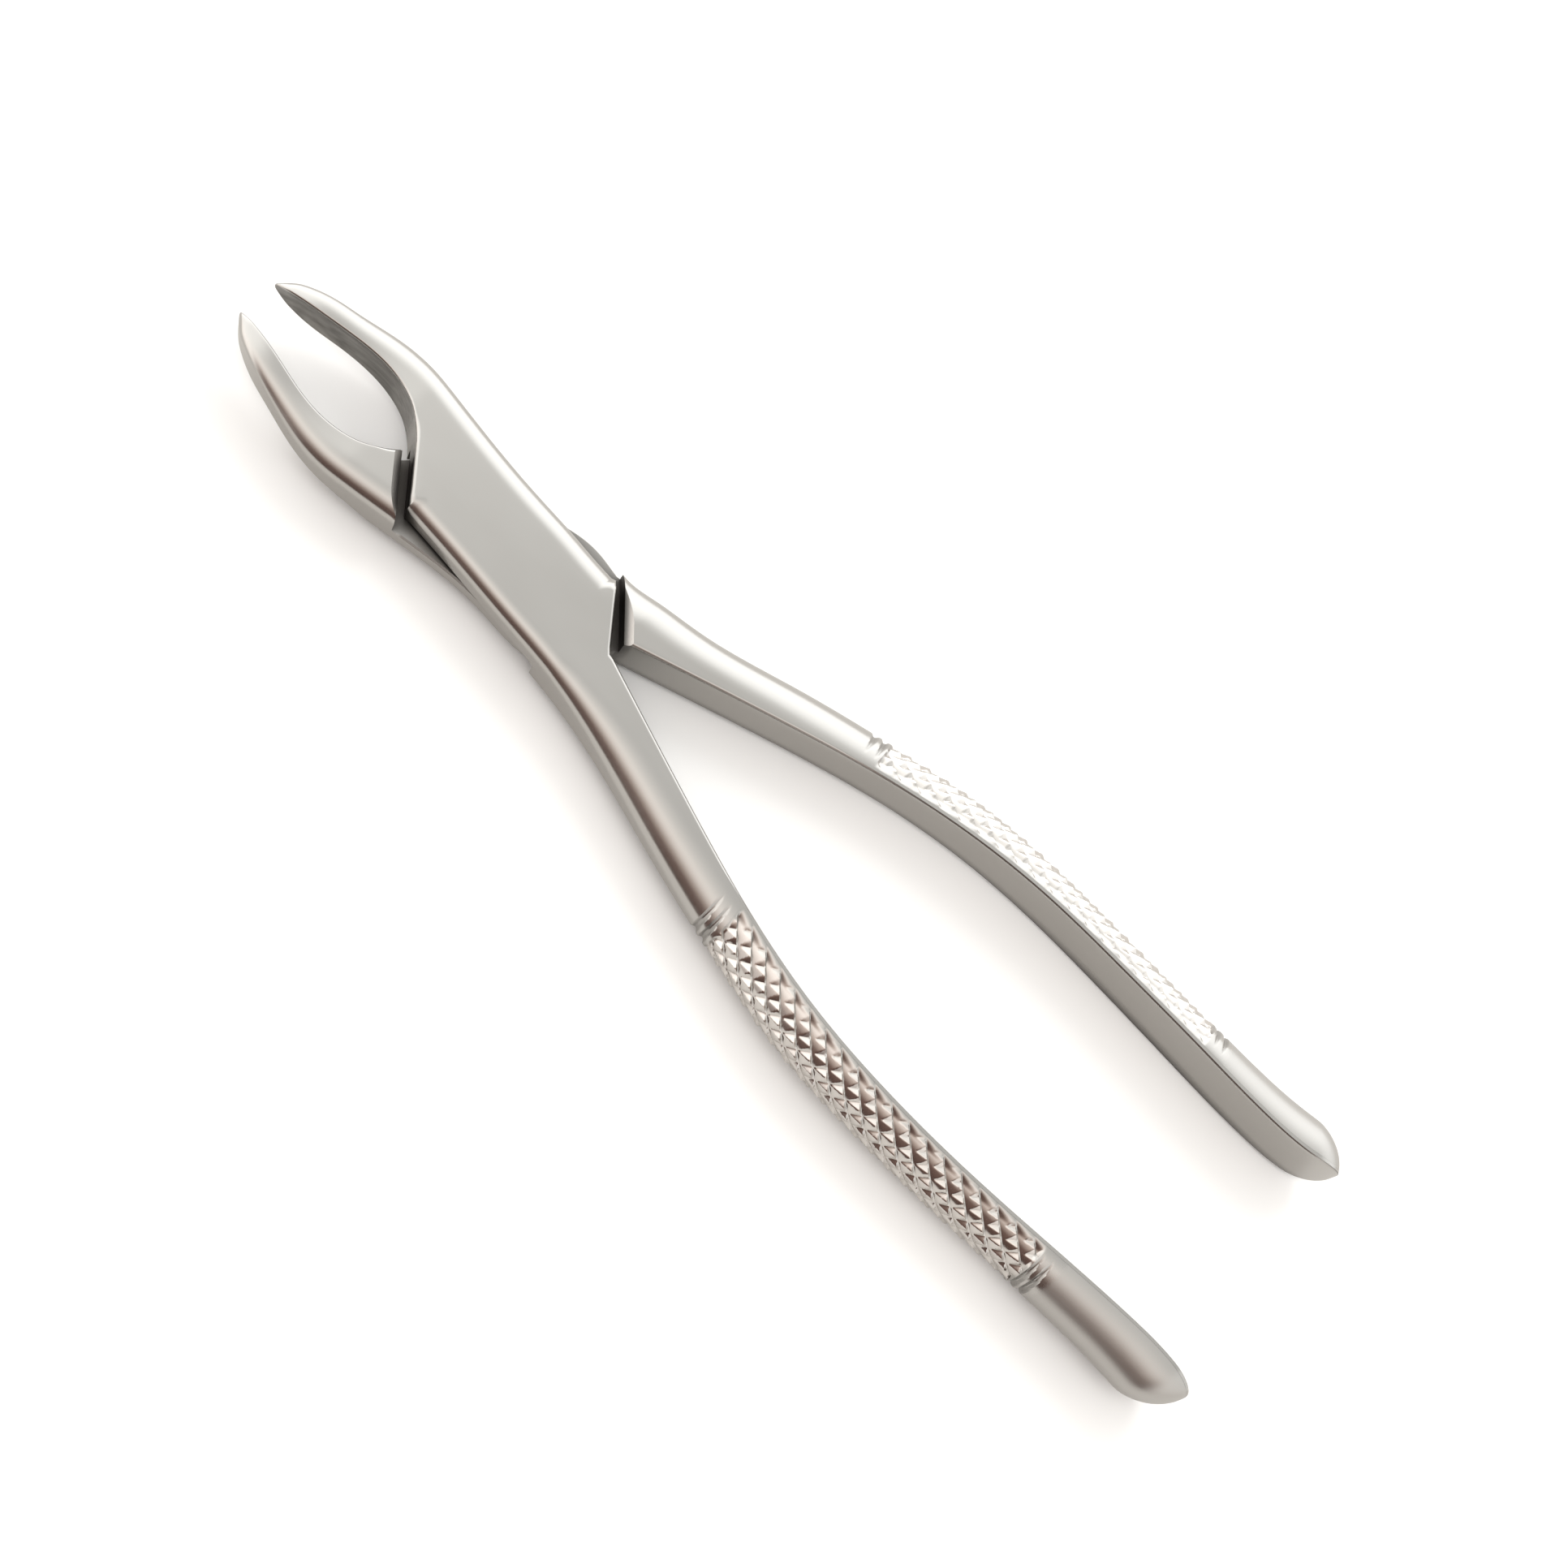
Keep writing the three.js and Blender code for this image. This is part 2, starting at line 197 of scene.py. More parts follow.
HANDLE_INNER = [(HANDLE_END, 18), (-129, 16.8), (-122, 16.35), (-108, 16.8), (-94, 17.25), (-80, 17.1),
                (-66, 15.65), (-52, 12.5), (-38, 8.1), (-24, 3.3), REAR_EDGE[0]]
BEAK_TIP_BACK = [(35, -8.15), (38, -7.25), (41, -6.05), (43, -4.9), (BEAK_TIP, -3.5)]
HANDLE_BACK = [(HANDLE_END, 23.4), (-129, 22.9), (-122, 22.45), (-108, 22.5), (-94, 22.9), (-80, 22.9),
               (-66, 21.9), (-52, 18.8), (-38, 14.9), (-24, 10.7)]
BEAK_INNER = [FRONT_EDGE[1], (20.4, -2.9), (24.5, -5), (28, -5.5), (31, -5.35), (37, -4.2),
              (BEAK_TIP, -2.8)]


def half_form(plate_back, beak_back, roundness):
    """The low side, the high side and the handle's rounding of a half. The halves differ in them."""
    low_side = profile(HANDLE_INNER, REAR_EDGE, [REAR_EDGE[1], *beak_back, *BEAK_TIP_BACK])
    high_side = profile([*HANDLE_BACK, *plate_back, FRONT_EDGE[0]], FRONT_EDGE, BEAK_INNER)
    rounding = profile([(HANDLE_END, 1), roundness[0]], roundness)
    plain = roundness[-1][0]
    return low_side, high_side, lambda x: np.where(x < plain, rounding(np.minimum(x, plain)), 0.0)


UPPER = half_form([(-14, 8.6), (-5, 7.7), (4, 6.8)],
                  [(-8, -7.15), (-3, -7.6), (2, -7.9), (10, -8.6), (20, -9.95), (25, -10.4), (30, -9.7)],
                  [(-60, 1), (-50, 0.95), (-38, 0.76), (-27, 0.52), (-20, 0.24), (-14, 0)])
LOWER = half_form([(-17, 9.4), (-12.5, 8.65), (-8, 9.3), (-3, 9), (4, 6.8)],
                  [(-8, -7.4), (-3, -7.15), (2, -7.1), (9, -7.9), (20, -9.65), (25, -10.1), (30, -9.45)],
                  [(-60, 1), (-50, 0.95), (-38, 0.82), (-27, 0.66), (-14, 0.42), (2, 0)])
handle_top = profile([(HANDLE_END, 6.6), (-129, 6.4), (-122, 5.9), (-108, 5.3), (-94, 4.75),
                      (-80, 4.7), (-66, 4.35), (HANDLE_HEIGHTS_END, JOINT_HALF)])
handle_bottom = profile([(HANDLE_END, -4.2), (-129, -4.4), (-122, -4.7), (-108, -4.98),
                         (-94, -4.93), (-80, -4.5), (-66, -4.2), (HANDLE_HEIGHTS_END, -JOINT_HALF)])
beak_top = profile([(BEAK_TOP_START, JOINT_HALF), (28, 4.05), (34, 4.3), (40, 4.6), (BEAK_TIP, 3.9)])
beak_bottom = profile([(BEAK_BOTTOM_START, -JOINT_HALF), (22, -3.1), (30, -2.1), (35, -1.35), (41, -0.35),
                       (BEAK_TIP, 1.7)])
beak_crest = profile([(BEAK_CREST_START, 0), (32, 0.35), (38, 0.8), (42, 1)], [(42, 1), (BEAK_TIP, 1)])


def toward(first, second, share):
    return first + (second - first) * share


def sections(x, lift):
    """Sides, heights, elliptical corners and hollow of the sections at x. lift is the beak's bend."""
    low_side, high_side, roundness = UPPER if lift > 0 else LOWER
    low, high = low_side(x), high_side(x)
    on_handle = x < HANDLE_HEIGHTS_END
    plate_or_beak_top = np.where(x > BEAK_TOP_START, beak_top(x), JOINT_HALF)
    plate_or_beak_bottom = np.where(x > BEAK_BOTTOM_START, beak_bottom(x), -JOINT_HALF)
    top = np.where(on_handle, handle_top(x), plate_or_beak_top)
    bottom = np.where(on_handle, handle_bottom(x), plate_or_beak_bottom)
    if lift < 0:
        top, bottom = -bottom, -top
    width, half_height = high - low, (top - bottom) / 2
    plate = smoothstep(REAR_EDGE[1][0] - PLATE_CHANGE, REAR_EDGE[1][0] + PLATE_CHANGE, x)
    slant = smoothstep(REAR_EDGE[0][0] - SLANT_CHANGE, REAR_EDGE[0][0] + SLANT_CHANGE, x)
    crest = np.where(x > BEAK_CREST_START, beak_crest(x), 0.0)
    low_edge = toward(INNER_EDGE, SHOULDER_CHAMFER, slant)
    low_y = toward(toward(low_edge, BACK_ROUND[0], plate), width * BEAK_CREST_ACROSS, crest)
    low_z = toward(toward(low_edge, BACK_ROUND[1], plate), BEAK_CREST_UP, crest)
    front = smoothstep(FRONT_EDGE[0][0] - PLATE_CHANGE, FRONT_EDGE[0][0] + PLATE_CHANGE, x)
    beak = smoothstep(FRONT_EDGE[1][0] + BEAK_CHANGE[0], FRONT_EDGE[1][0] + BEAK_CHANGE[1], x)
    high_y = toward(EDGE_ROUND[0], width * FULL_ROUND_SHARE, roundness(x))
    high_z = toward(EDGE_ROUND[1], half_height, roundness(x))
    high_y, high_z = (toward(toward(size, SHOULDER_CHAMFER, front), SHARP_EDGE, beak)
                      for size in (high_y, high_z))
    hollow = BEAK_HOLLOW * smoothstep(*BEAK_HOLLOW_START, x) * (1 - smoothstep(*BEAK_HOLLOW_FADE, x))
    return np.stack([low, high, top, bottom, low_y, low_z, high_y, high_z, hollow], axis=1)


def corner_arc(centre, radii, start, steps):
    angle = start + np.linspace(0, math.pi / 2, steps + 1)
    return np.stack([centre[0] + radii[0] * np.cos(angle), centre[1] + radii[1] * np.sin(angle)], 1)


def side_path(first_arc, second_arc, steps, dip):
    """Two corner arcs and the face between them, which dips by that much towards -y."""
    share = np.linspace(0, 1, steps + 2)[1:-1, None]
    face = first_arc[-1] + (second_arc[0] - first_arc[-1]) * share
    face[:, 0] -= dip * 4 * share[:, 0] * (1 - share[:, 0])
    return np.concatenate([first_arc, face, second_arc])


def evenly(path, blend):
    """The path's points moved towards even spacing along it."""
    length = np.concatenate([[0], np.cumsum(np.hypot(*np.diff(path, axis=0).T))])
    even = np.linspace(0, length[-1], len(path))
    target = length + (even - length) * blend
    return np.stack([np.interp(target, length, path[:, axis]) for axis in (0, 1)], axis=1)


def ring_points(section, blend):
    """One closed section, anticlockwise seen from +x, from the +y side's lower corner."""
    low, high, top, bottom, low_y, low_z, high_y, high_z, hollow = section
    quarter = math.pi / 2
    back = side_path(
        corner_arc((high - high_y, bottom + high_z), (high_y, high_z), -quarter, BACK_ARC_STEPS),
        corner_arc((high - high_y, top - high_z), (high_y, high_z), 0, BACK_ARC_STEPS),
        BACK_FACE_STEPS - 1, hollow)
    inner = side_path(
        corner_arc((low + low_y, top - low_z), (low_y, low_z), quarter, INNER_ARC_STEPS),
        corner_arc((low + low_y, bottom + low_z), (low_y, low_z), 2 * quarter, INNER_ARC_STEPS),
        INNER_FACE_STEPS - 1, 0.0)
    share = np.linspace(0, 1, FLAT_STEPS + 1)[1:-1, None]
    top_flat = back[-1] + (inner[0] - back[-1]) * share
    bottom_flat = inner[-1] + (back[0] - inner[-1]) * share
    return np.concatenate([evenly(back, blend), top_flat, inner, bottom_flat])


def bevelled(rings, x):
    """The rings with a V groove round the plate at mid-plane height, which the plate cut halves."""
    along = smoothstep(BEVEL_SPAN[0], BEVEL_SPAN[0] + BEVEL_RUN_OUT, x)
    along = along * (1 - smoothstep(BEVEL_SPAN[1] - BEVEL_RUN_OUT, BEVEL_SPAN[1], x))
    depth = BEVEL_DEPTH * np.clip(1 - np.abs(rings[..., 1]) / BEVEL_HEIGHT, 0, 1) * along[:, None]
    middle = (rings[..., 0].max(axis=1) + rings[..., 0].min(axis=1))[:, None] / 2
    inward = np.where(rings[..., 0] > middle, -1.0, 1.0)
    return np.stack([rings[..., 0] + inward * depth, rings[..., 1]], axis=2)


def station_list():
    """(x, swell) of every section: fine over the knurl, close together at the round ends."""
    turn = np.arange(ROUND_END_STEPS) / ROUND_END_STEPS * math.pi / 2
    handle_swell = np.maximum(np.sin(turn) ** HANDLE_END_BLUNT, LEAST_SWELL)
    beak_swell = np.maximum(np.sin(turn) ** BEAK_END_BLUNT, LEAST_SWELL)
    parts = [np.stack([HANDLE_END + HANDLE_END_ROUND * (1 - np.cos(turn)), handle_swell], 1)]
    fine_count = round((FINE_SPAN[1] - FINE_SPAN[0]) / FINE_PITCH)
    fine_end = FINE_SPAN[0] + fine_count * FINE_PITCH
    corners = [REAR_EDGE[0][0], REAR_EDGE[1][0], FRONT_EDGE[0][0], FRONT_EDGE[1][0]]
    marks = [HANDLE_END + HANDLE_END_ROUND, FINE_SPAN[0], fine_end, *corners,
             BEAK_TIP - BEAK_END_ROUND]
    for start, stop in zip(marks, marks[1:]):
        count = fine_count if start == FINE_SPAN[0] else math.ceil((stop - start) / COARSE_PITCH)
        x = np.linspace(start, stop, count + 1)[:-1]
        parts.append(np.stack([x, np.ones(count)], 1))
    beak_end = np.stack([BEAK_TIP - BEAK_END_ROUND * (1 - np.cos(turn)), beak_swell], 1)
    parts.append([[BEAK_TIP - BEAK_END_ROUND, 1.0]])
    parts.append(beak_end[::-1])
    return np.concatenate(parts)


def saw_cut(step):
    """Depth of the saw-tooth cuts: a steep wall one step wide, then a slope back down."""
    phase = np.mod(step, SAW_PITCH)
    return SAW_DEPTH * np.where(phase < 1, 1 - phase, (phase - 1) / (SAW_PITCH - 1))


def cross_cut(step, column):
    """Depth of the V cuts that cross them, which are shallower away from the crown of the back."""
    from_crown = np.abs(column / BACK_STEPS - 0.5)
    share = toward(1.0, CROSS_LEAST_SHARE, smoothstep(*CROSS_RUN_OUT, from_crown))
    return CROSS_DEPTH * share * np.abs(1 - 2 * np.mod(step, CROSS_PITCH) / CROSS_PITCH)


def knurl_share(x, column):
    """1 where the knurl has its full depth, running out to 0 at its borders."""
    round_share = column / BACK_STEPS
    margin = smoothstep(KNURL_MARGIN, KNURL_MARGIN + KNURL_FADE, round_share)
    margin = margin * (1 - smoothstep(1 - KNURL_MARGIN - KNURL_FADE, 1 - KNURL_MARGIN, round_share))
    along = smoothstep(KNURL_SPAN[0], KNURL_SPAN[0] + KNURL_RUN_OUT, x)
    return margin * along * (1 - smoothstep(KNURL_SPAN[1] - KNURL_RUN_OUT, KNURL_SPAN[1], x))


def knurl_depth(x, column):
    """How deep the surface is cut at x and at that column round the handle's back."""
    row = (x - KNURL_SPAN[0]) / FINE_PITCH
    return np.maximum(saw_cut(row - column), cross_cut(row + column, column)) * knurl_share(x, column)


def gripping_share(x, column):
    """1 on the inner face of the beak, which is left rougher, and 0 elsewhere."""
    on_face = (column >= BACK_ARC_STEPS) & (column <= BACK_ARC_STEPS + BACK_FACE_STEPS)
    return smoothstep(*GRIPPING_START, x) * on_face


def ring_depth(x, column):
    """Crescent grooves across the back, deepest on its crown and run out before its edges."""
    across = 2 * column / BACK_STEPS - 1
    depth = np.zeros(np.broadcast(x, column).shape)
    for place, half, deep in RINGS:
        away = np.abs(x - place - RING_LEAN * across)
        run_out = np.clip(1 - (across / RING_REACH) ** 2, 0, 1)
        shape = np.clip(1 - (away / (half * np.sqrt(np.maximum(run_out, 1e-4)))) ** 2, 0, 1)
        depth = np.maximum(depth, deep * run_out * shape)
    return depth


def slanted(points, inner_side):
    """The handle's end face moved along x, by its distance to the inner side and its height."""
    x, y, z = np.moveaxis(points, -1, 0)
    share = 1 - smoothstep(HANDLE_END, SLANT_START, x)
    shift = share * (SLANT_INNER + SLANT_WIDTH * (y - inner_side) + SLANT_HEIGHT * z)
    return np.stack([x + shift, y, z], axis=-1)


def loft_half(lift):
    """Vertices and triangles of a forged half, in millimetres about the mid-plane, and its shares."""
    stations = station_list()
    x, swell = stations.T
    data = sections(x, lift)
    blend = 1 - smoothstep(*EVEN_SPACING_FADE, x)
    rings = np.array([ring_points(row, share) for row, share in zip(data, blend)])
    rings = bevelled(rings, x)
    low, high, top, bottom = data[:, :4].T
    on_handle = x < 0
    across = np.where(on_handle, HANDLE_END_ACROSS, BEAK_END_ACROSS)
    up = np.where(on_handle, HANDLE_END_UP, BEAK_END_UP)
    up = up if lift > 0 else 1 - up
    centre = np.stack([low + (high - low) * across, bottom + (top - bottom) * up], axis=1)[:, None, :]
    rings = centre + (rings - centre) * swell[:, None, None]
    count, size = rings.shape[:2]
    column = np.arange(size)[None, :]
    on_back = column <= BACK_STEPS
    cut = np.maximum(knurl_depth(x[:, None], column), ring_depth(x[:, None], column)) * on_back
    along = np.roll(rings, -1, axis=1) - np.roll(rings, 1, axis=1)
    outward = np.stack([along[..., 1], -along[..., 0]], axis=2)
    outward /= np.maximum(np.linalg.norm(outward, axis=2, keepdims=True), 1e-9)
    rings = rings - outward * cut[..., None]
    vertices = np.concatenate([np.broadcast_to(x[:, None, None], (count, size, 1)), rings], axis=2)
    ends = np.array([[x[0], *centre[0, 0]], [x[-1], *centre[-1, 0]]])
    vertices = slanted(vertices, low[:, None]).reshape(-1, 3)
    ends = slanted(ends, low[[0, -1]])
    i, j = np.meshgrid(np.arange(count - 1), np.arange(size), indexing="ij")
    after = (j + 1) % size
    corners = [i * size + j, i * size + after, (i + 1) * size + after, (i + 1) * size + j]
    middle = knurl_depth((x[i] + x[i + 1]) / 2, j + 0.5)
    flat_cut = cut.reshape(-1)
    rising = (flat_cut[corners[0]] + flat_cut[corners[2]]) / 2
    falling = (flat_cut[corners[1]] + flat_cut[corners[3]]) / 2
    use_falling = np.abs(falling - middle) < np.abs(rising - middle) - 1e-9
    a, b, c, d = corners
    first = np.where(use_falling[..., None], np.stack([a, b, d], 2), np.stack([a, b, c], 2))
    second = np.where(use_falling[..., None], np.stack([b, c, d], 2), np.stack([a, c, d], 2))
    around = np.arange(size)
    start_cap = np.stack([np.full(size, count * size), (around + 1) % size, around], 1)
    last = (count - 1) * size
    end_cap = np.stack([np.full(size, count * size + 1), last + around, last + (around + 1) % size], 1)
    faces = np.concatenate([first.reshape(-1, 3), second.reshape(-1, 3), start_cap, end_cap])
    shares = {
        "knurled": knurl_share(x[:, None], column) * on_back,
        "gripping": gripping_share(x[:, None], column),
        "blasted": (1 - smoothstep(*BLASTED_FADE, x[:, None])) * on_back,
    }
    shares = {name: np.concatenate([share.reshape(-1), [0, 0]]) for name, share in shares.items()}
    return np.concatenate([vertices, ends]), faces, shares


def mesh_object(name, vertices, faces):
    mesh = bpy.data.meshes.new(name)
    mesh.from_pydata(np.asarray(vertices, float).tolist(), [], [list(map(int, f)) for f in faces])
    mesh.update()
    obj = bpy.data.objects.new(name, mesh)
    bpy.context.scene.collection.objects.link(obj)
    return obj


def prism(outline, low, high):
    """A closed upright prism over an anticlockwise outline."""
    count = len(outline)
    vertices = [(x, y, z) for z in (low, high) for x, y in outline]
    faces = [list(range(count))[::-1], [count + index for index in range(count)]]
    for index in range(count):
        after = (index + 1) % count
        faces.append([index, after, count + after, count + index])
    return vertices, faces


def extended(line, reach):
    (x0, y0), (x1, y1) = line
    scale = reach / math.hypot(x1 - x0, y1 - y0)
    dx, dy = (x1 - x0) * scale, (y1 - y0) * scale
    return [(x0 - dx, y0 - dy), (x1 + dx, y1 + dy)]


def plate_room():
    """The space that the other half's plate turns in."""
    outline = [*extended(FRONT_SHOULDER, ROOM_OVERRUN), *extended(REAR_SHOULDER, ROOM_OVERRUN)[::-1]]
    return mesh_object("room", *prism(outline, -2 * JOINT_HALF, PLATE_GAP / 2))


def chamfer_bar(line, size):
    """A square bar along a shoulder's outer edge, which cuts its chamfer."""
    (x0, y0), (x1, y1) = extended(line, BAR_OVERRUN)
    length = math.hypot(x1 - x0, y1 - y0)
    square = [(-size, 0), (0, -size), (size, 0), (0, size)]
    vertices, faces = prism(square, 0, length)
    bar = mesh_object("bar", vertices, faces)
    along = Vector((x1 - x0, y1 - y0, 0)).normalized()
    side = Vector((0, 0, 1)).cross(along)
    turn = Matrix((side, Vector((0, 0, 1)), along)).transposed()
    if turn.determinant() < 0:
        turn = Matrix((-side, Vector((0, 0, 1)), along)).transposed()
    bar.data.transform(Matrix.Translation((x0, y0, -JOINT_HALF)) @ turn.to_4x4())
    return bar


def rod(radius, low, high, segments=96):
    circle = [(radius * math.cos(2 * math.pi * k / segments), radius * math.sin(2 * math.pi * k / segments))
              for k in range(segments)]
    return mesh_object("rod", *prism(circle, low, high))


def cut_away(obj, cutters):
    """Takes the cutters out of obj and deletes them."""
    for cutter in cutters:
        modifier = obj.modifiers.new("cut", "BOOLEAN")
        modifier.operation = "DIFFERENCE"
        modifier.solver = "MANIFOLD"
        modifier.object = cutter
    bpy.context.view_layer.update()
    evaluated = obj.evaluated_get(bpy.context.evaluated_depsgraph_get())
    mesh = bpy.data.meshes.new_from_object(evaluated)
    obj.modifiers.clear()
    obj.data = mesh
    for cutter in cutters:
        bpy.data.objects.remove(cutter)


def forged_half(name, lift, bores):
    vertices, faces, shares = loft_half(lift)
    obj = mesh_object(name, vertices, faces)
    for share_name, share in shares.items():
        attribute = obj.data.attributes.new(share_name, "FLOAT", "POINT")
        attribute.data.foreach_set("value", share.astype(np.float32))
    cut_away(obj, [plate_room(), chamfer_bar(REAR_SHOULDER, SHOULDER_CHAMFER),
                   chamfer_bar(FRONT_SHOULDER, SHOULDER_CHAMFER)])
    if lift < 0:
        obj.data.transform(Matrix.Rotation(math.pi, 4, "X"))
    cut_away(obj, [rod(*bore) for bore in bores])
    finish_mesh(obj)
    return obj


def finish_mesh(obj, sharp_angle=24):
    """Moves a piece from millimetres about the mid-plane into the frame, and shades it."""
    joint_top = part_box("pivot_screw")[0].z + 2 * JOINT_HALF * MM
    place = Matrix.Translation((0, 0, joint_top - JOINT_HALF * MM)) @ Matrix.Scale(MM, 4)
    obj.data.transform(place)
    obj.data.shade_smooth()
    obj.data.set_sharp_from_angle(angle=math.radians(sharp_angle))


def upper_forging():
    bore_top = JOINT_HALF - BLIND_COVER
    return forged_half("upper_forging", 1, [(SHANK_RADIUS + SHANK_CLEARANCE, -BORE_OVERRUN, bore_top)])


def lower_forging():
    seat = -JOINT_HALF + HEAD_HEIGHT + AXIAL_CLEARANCE
    return forged_half("lower_forging", -1, [
        (SHANK_RADIUS + SHANK_CLEARANCE, -JOINT_HALF - BORE_OVERRUN, BORE_OVERRUN),
        (HEAD_RADIUS + SHANK_CLEARANCE, -JOINT_HALF - BORE_OVERRUN, seat),
    ])


def slotted_screw(segments=128):
    """A flush slotted screw, turned about z, with its head down."""
    end = JOINT_HALF - BLIND_COVER - AXIAL_CLEARANCE
    face = -JOINT_HALF
    outline = [(0, face), (HEAD_RADIUS - HEAD_ROUND_IN[0], face),
               (HEAD_RADIUS - HEAD_ROUND_IN[1], face + HEAD_ROUND_UP[0]),
               (HEAD_RADIUS, face + HEAD_ROUND_UP[1]), (HEAD_RADIUS, face + HEAD_HEIGHT),
               (SHANK_RADIUS, face + HEAD_HEIGHT), (SHANK_RADIUS, end - SHANK_CHAMFER),
               (SHANK_RADIUS - SHANK_CHAMFER, end), (0, end)]
    angle = np.arange(segments) * 2 * math.pi / segments
    vertices = [(0, 0, outline[0][1]), (0, 0, outline[-1][1])]
    for radius, height in outline[1:-1]:
        vertices += [(radius * math.cos(a), radius * math.sin(a), height) for a in angle]
    rows = len(outline) - 2
    faces = []
    for k in range(segments):
        after = (k + 1) % segments
        faces.append([0, 2 + after, 2 + k])
        for row in range(rows - 1):
            base, above = 2 + row * segments, 2 + (row + 1) * segments
            faces.append([base + k, base + after, above + after, above + k])
        top = 2 + (rows - 1) * segments
        faces.append([1, top + k, top + after])
    obj = mesh_object("slotted_pivot_screw", vertices, faces)
    half_length, half_width = HEAD_RADIUS * SLOT_CUTTER_REACH, SLOT_WIDTH / 2
    box = [(-half_length, -half_width), (half_length, -half_width), (half_length, half_width),
           (-half_length, half_width)]
    slot = mesh_object("slot", *prism(box, face - SLOT_DEPTH, face + SLOT_DEPTH))
    slot.data.transform(Matrix.Rotation(SLOT_TURN, 4, "Z"))
    cut_away(obj, [slot])
    finish_mesh(obj)
    return obj


# Materials

# Each noise: how finely it is drawn along x, y and z, its detail and its roughness. Patches are broad,
# and lines and waves run lengthwise.
PATCH_NOISE = (45, 90, 90), 2.0, 0.55
LINE_NOISE = (160, 6000, 6000), 3.0, 0.6
WAVE_NOISE = (90, 1500, 1500), 2.0, 0.5
PIT_NOISE = (3500, 3500, 3500), 2.0, 0.55
FLOOR_NOISE = (40, 40, 40), 3.0, 0.55

# Each steel: its light and dark tones, and its roughness on smooth and on rough patches
FORGED_FINISH = (0.58, 0.572, 0.553), (0.565, 0.556, 0.536), 0.19, 0.22
SCREW_FINISH = (0.56, 0.55, 0.535), (0.50, 0.49, 0.475), 0.24, 0.34

# What the noises, the mesh's shares and the shelter's painted shade do to both steels
LINE_ROUGHNESS = (-0.015, 0.02)
PIT_HEIGHT, GRIPPING_WAVE_HEIGHT = 0.5, 9.0
BUMP_STRENGTH, BUMP_DEPTH = 0.03, 0.00002
# The shelter is painted shade: in creases and gaps that ambient occlusion finds within its reach, the
# colour darkens towards near black (less on the knurl) and the roughness rises
SHELTER_REACH, SHELTER_SAMPLES = 0.003, 8
SHELTER_POWER = 2.4
KNURL_SHELTER_POWER = 0.8
CREVICE_SHADE_COLOUR = (0.035, 0.03, 0.026)
CREVICE_SHADE_ROUGHNESS = 0.2
END_EXTRA_ROUGHNESS = 0.14
KNURL_ROUGHNESS = 0.12
KNURL_TONE = (0.76, 0.735, 0.705)
# The beak's inner face: its colour is these shares of the steel's tones, painted shade of the hollow
# between the beaks, in lengthwise streaks that stand in for its wavy reflections
GRIPPING_SHADE_TONES = (0.44, 0.66)
GRIPPING_ROUGHNESS = 0.3

# The floor: its tones to the camera, and its tone in the steel's reflections
FLOOR_ROUGHNESS, FLOOR_SPECULAR = 0.7, 0.2
FLOOR_TONES = (0.90, 0.90, 0.895), (0.92, 0.92, 0.915)
FLOOR_IN_STEEL = (0.585, 0.57, 0.55)


def new_material(name):
    material = bpy.data.materials.new(name)
    material.use_nodes = True
    nodes = material.node_tree.nodes
    return material, nodes, material.node_tree.links, nodes["Principled BSDF"]


def noise(nodes, links, fineness, detail, roughness):
    """Noise over the object, drawn finer along an axis where that fineness is larger."""
    coordinates = nodes.new("ShaderNodeTexCoord")
    mapping = nodes.new("ShaderNodeMapping")
    mapping.inputs["Scale"].default_value = fineness
    links.new(coordinates.outputs["Object"], mapping.inputs["Vector"])
    node = nodes.new("ShaderNodeTexNoise")
    node.inputs["Scale"].default_value = 1.0
    node.inputs["Detail"].default_value = detail
    node.inputs["Roughness"].default_value = roughness
    links.new(mapping.outputs["Vector"], node.inputs["Vector"])
    return node.outputs["Fac"]


def remap(nodes, links, value, low, high, from_low=0.3, from_high=0.7):
    """The value carried to low at from_low and to high at from_high, and held beyond them."""
    node = nodes.new("ShaderNodeMapRange")
    node.inputs["From Min"].default_value = from_low
    node.inputs["From Max"].default_value = from_high
    node.inputs["To Min"].default_value = low
    node.inputs["To Max"].default_value = high
    links.new(value, node.inputs["Value"])
    return node.outputs["Result"]


def feed(links, socket, value):
    """Links another node's output to the socket, or sets a plain value on it."""
    if isinstance(value, bpy.types.NodeSocket):
        links.new(value, socket)
    else:
        socket.default_value = value


def math_node(nodes, links, operation, first, second):
    node = nodes.new("ShaderNodeMath")
    node.operation = operation
    feed(links, node.inputs[0], first)
    feed(links, node.inputs[1], second)
    return node.outputs[0]


def mix_colour(nodes, links, factor, first, second):
    """first where factor is 0, second where it is 1. A Mix node's colours are inputs 6 and 7."""
    node = nodes.new("ShaderNodeMix")
    node.data_type = "RGBA"
    links.new(factor, node.inputs["Factor"])
    for socket, value in ((node.inputs[6], first), (node.inputs[7], second)):
        feed(links, socket, (*value, 1) if isinstance(value, tuple) else value)
    return node.outputs[2]


def share_of(nodes, name):
    """The named share that the mesh carries, which is 0 on a mesh without it."""
    node = nodes.new("ShaderNodeAttribute")
    node.attribute_name = name
    return node.outputs["Fac"]


def blend_value(nodes, links, share, first, second):
    """first where share is 0, second where it is 1. A Mix node's plain values are inputs 2 and 3."""
    node = nodes.new("ShaderNodeMix")
    feed(links, node.inputs[0], share)
    feed(links, node.inputs[2], first)
    feed(links, node.inputs[3], second)
    return node.outputs[0]


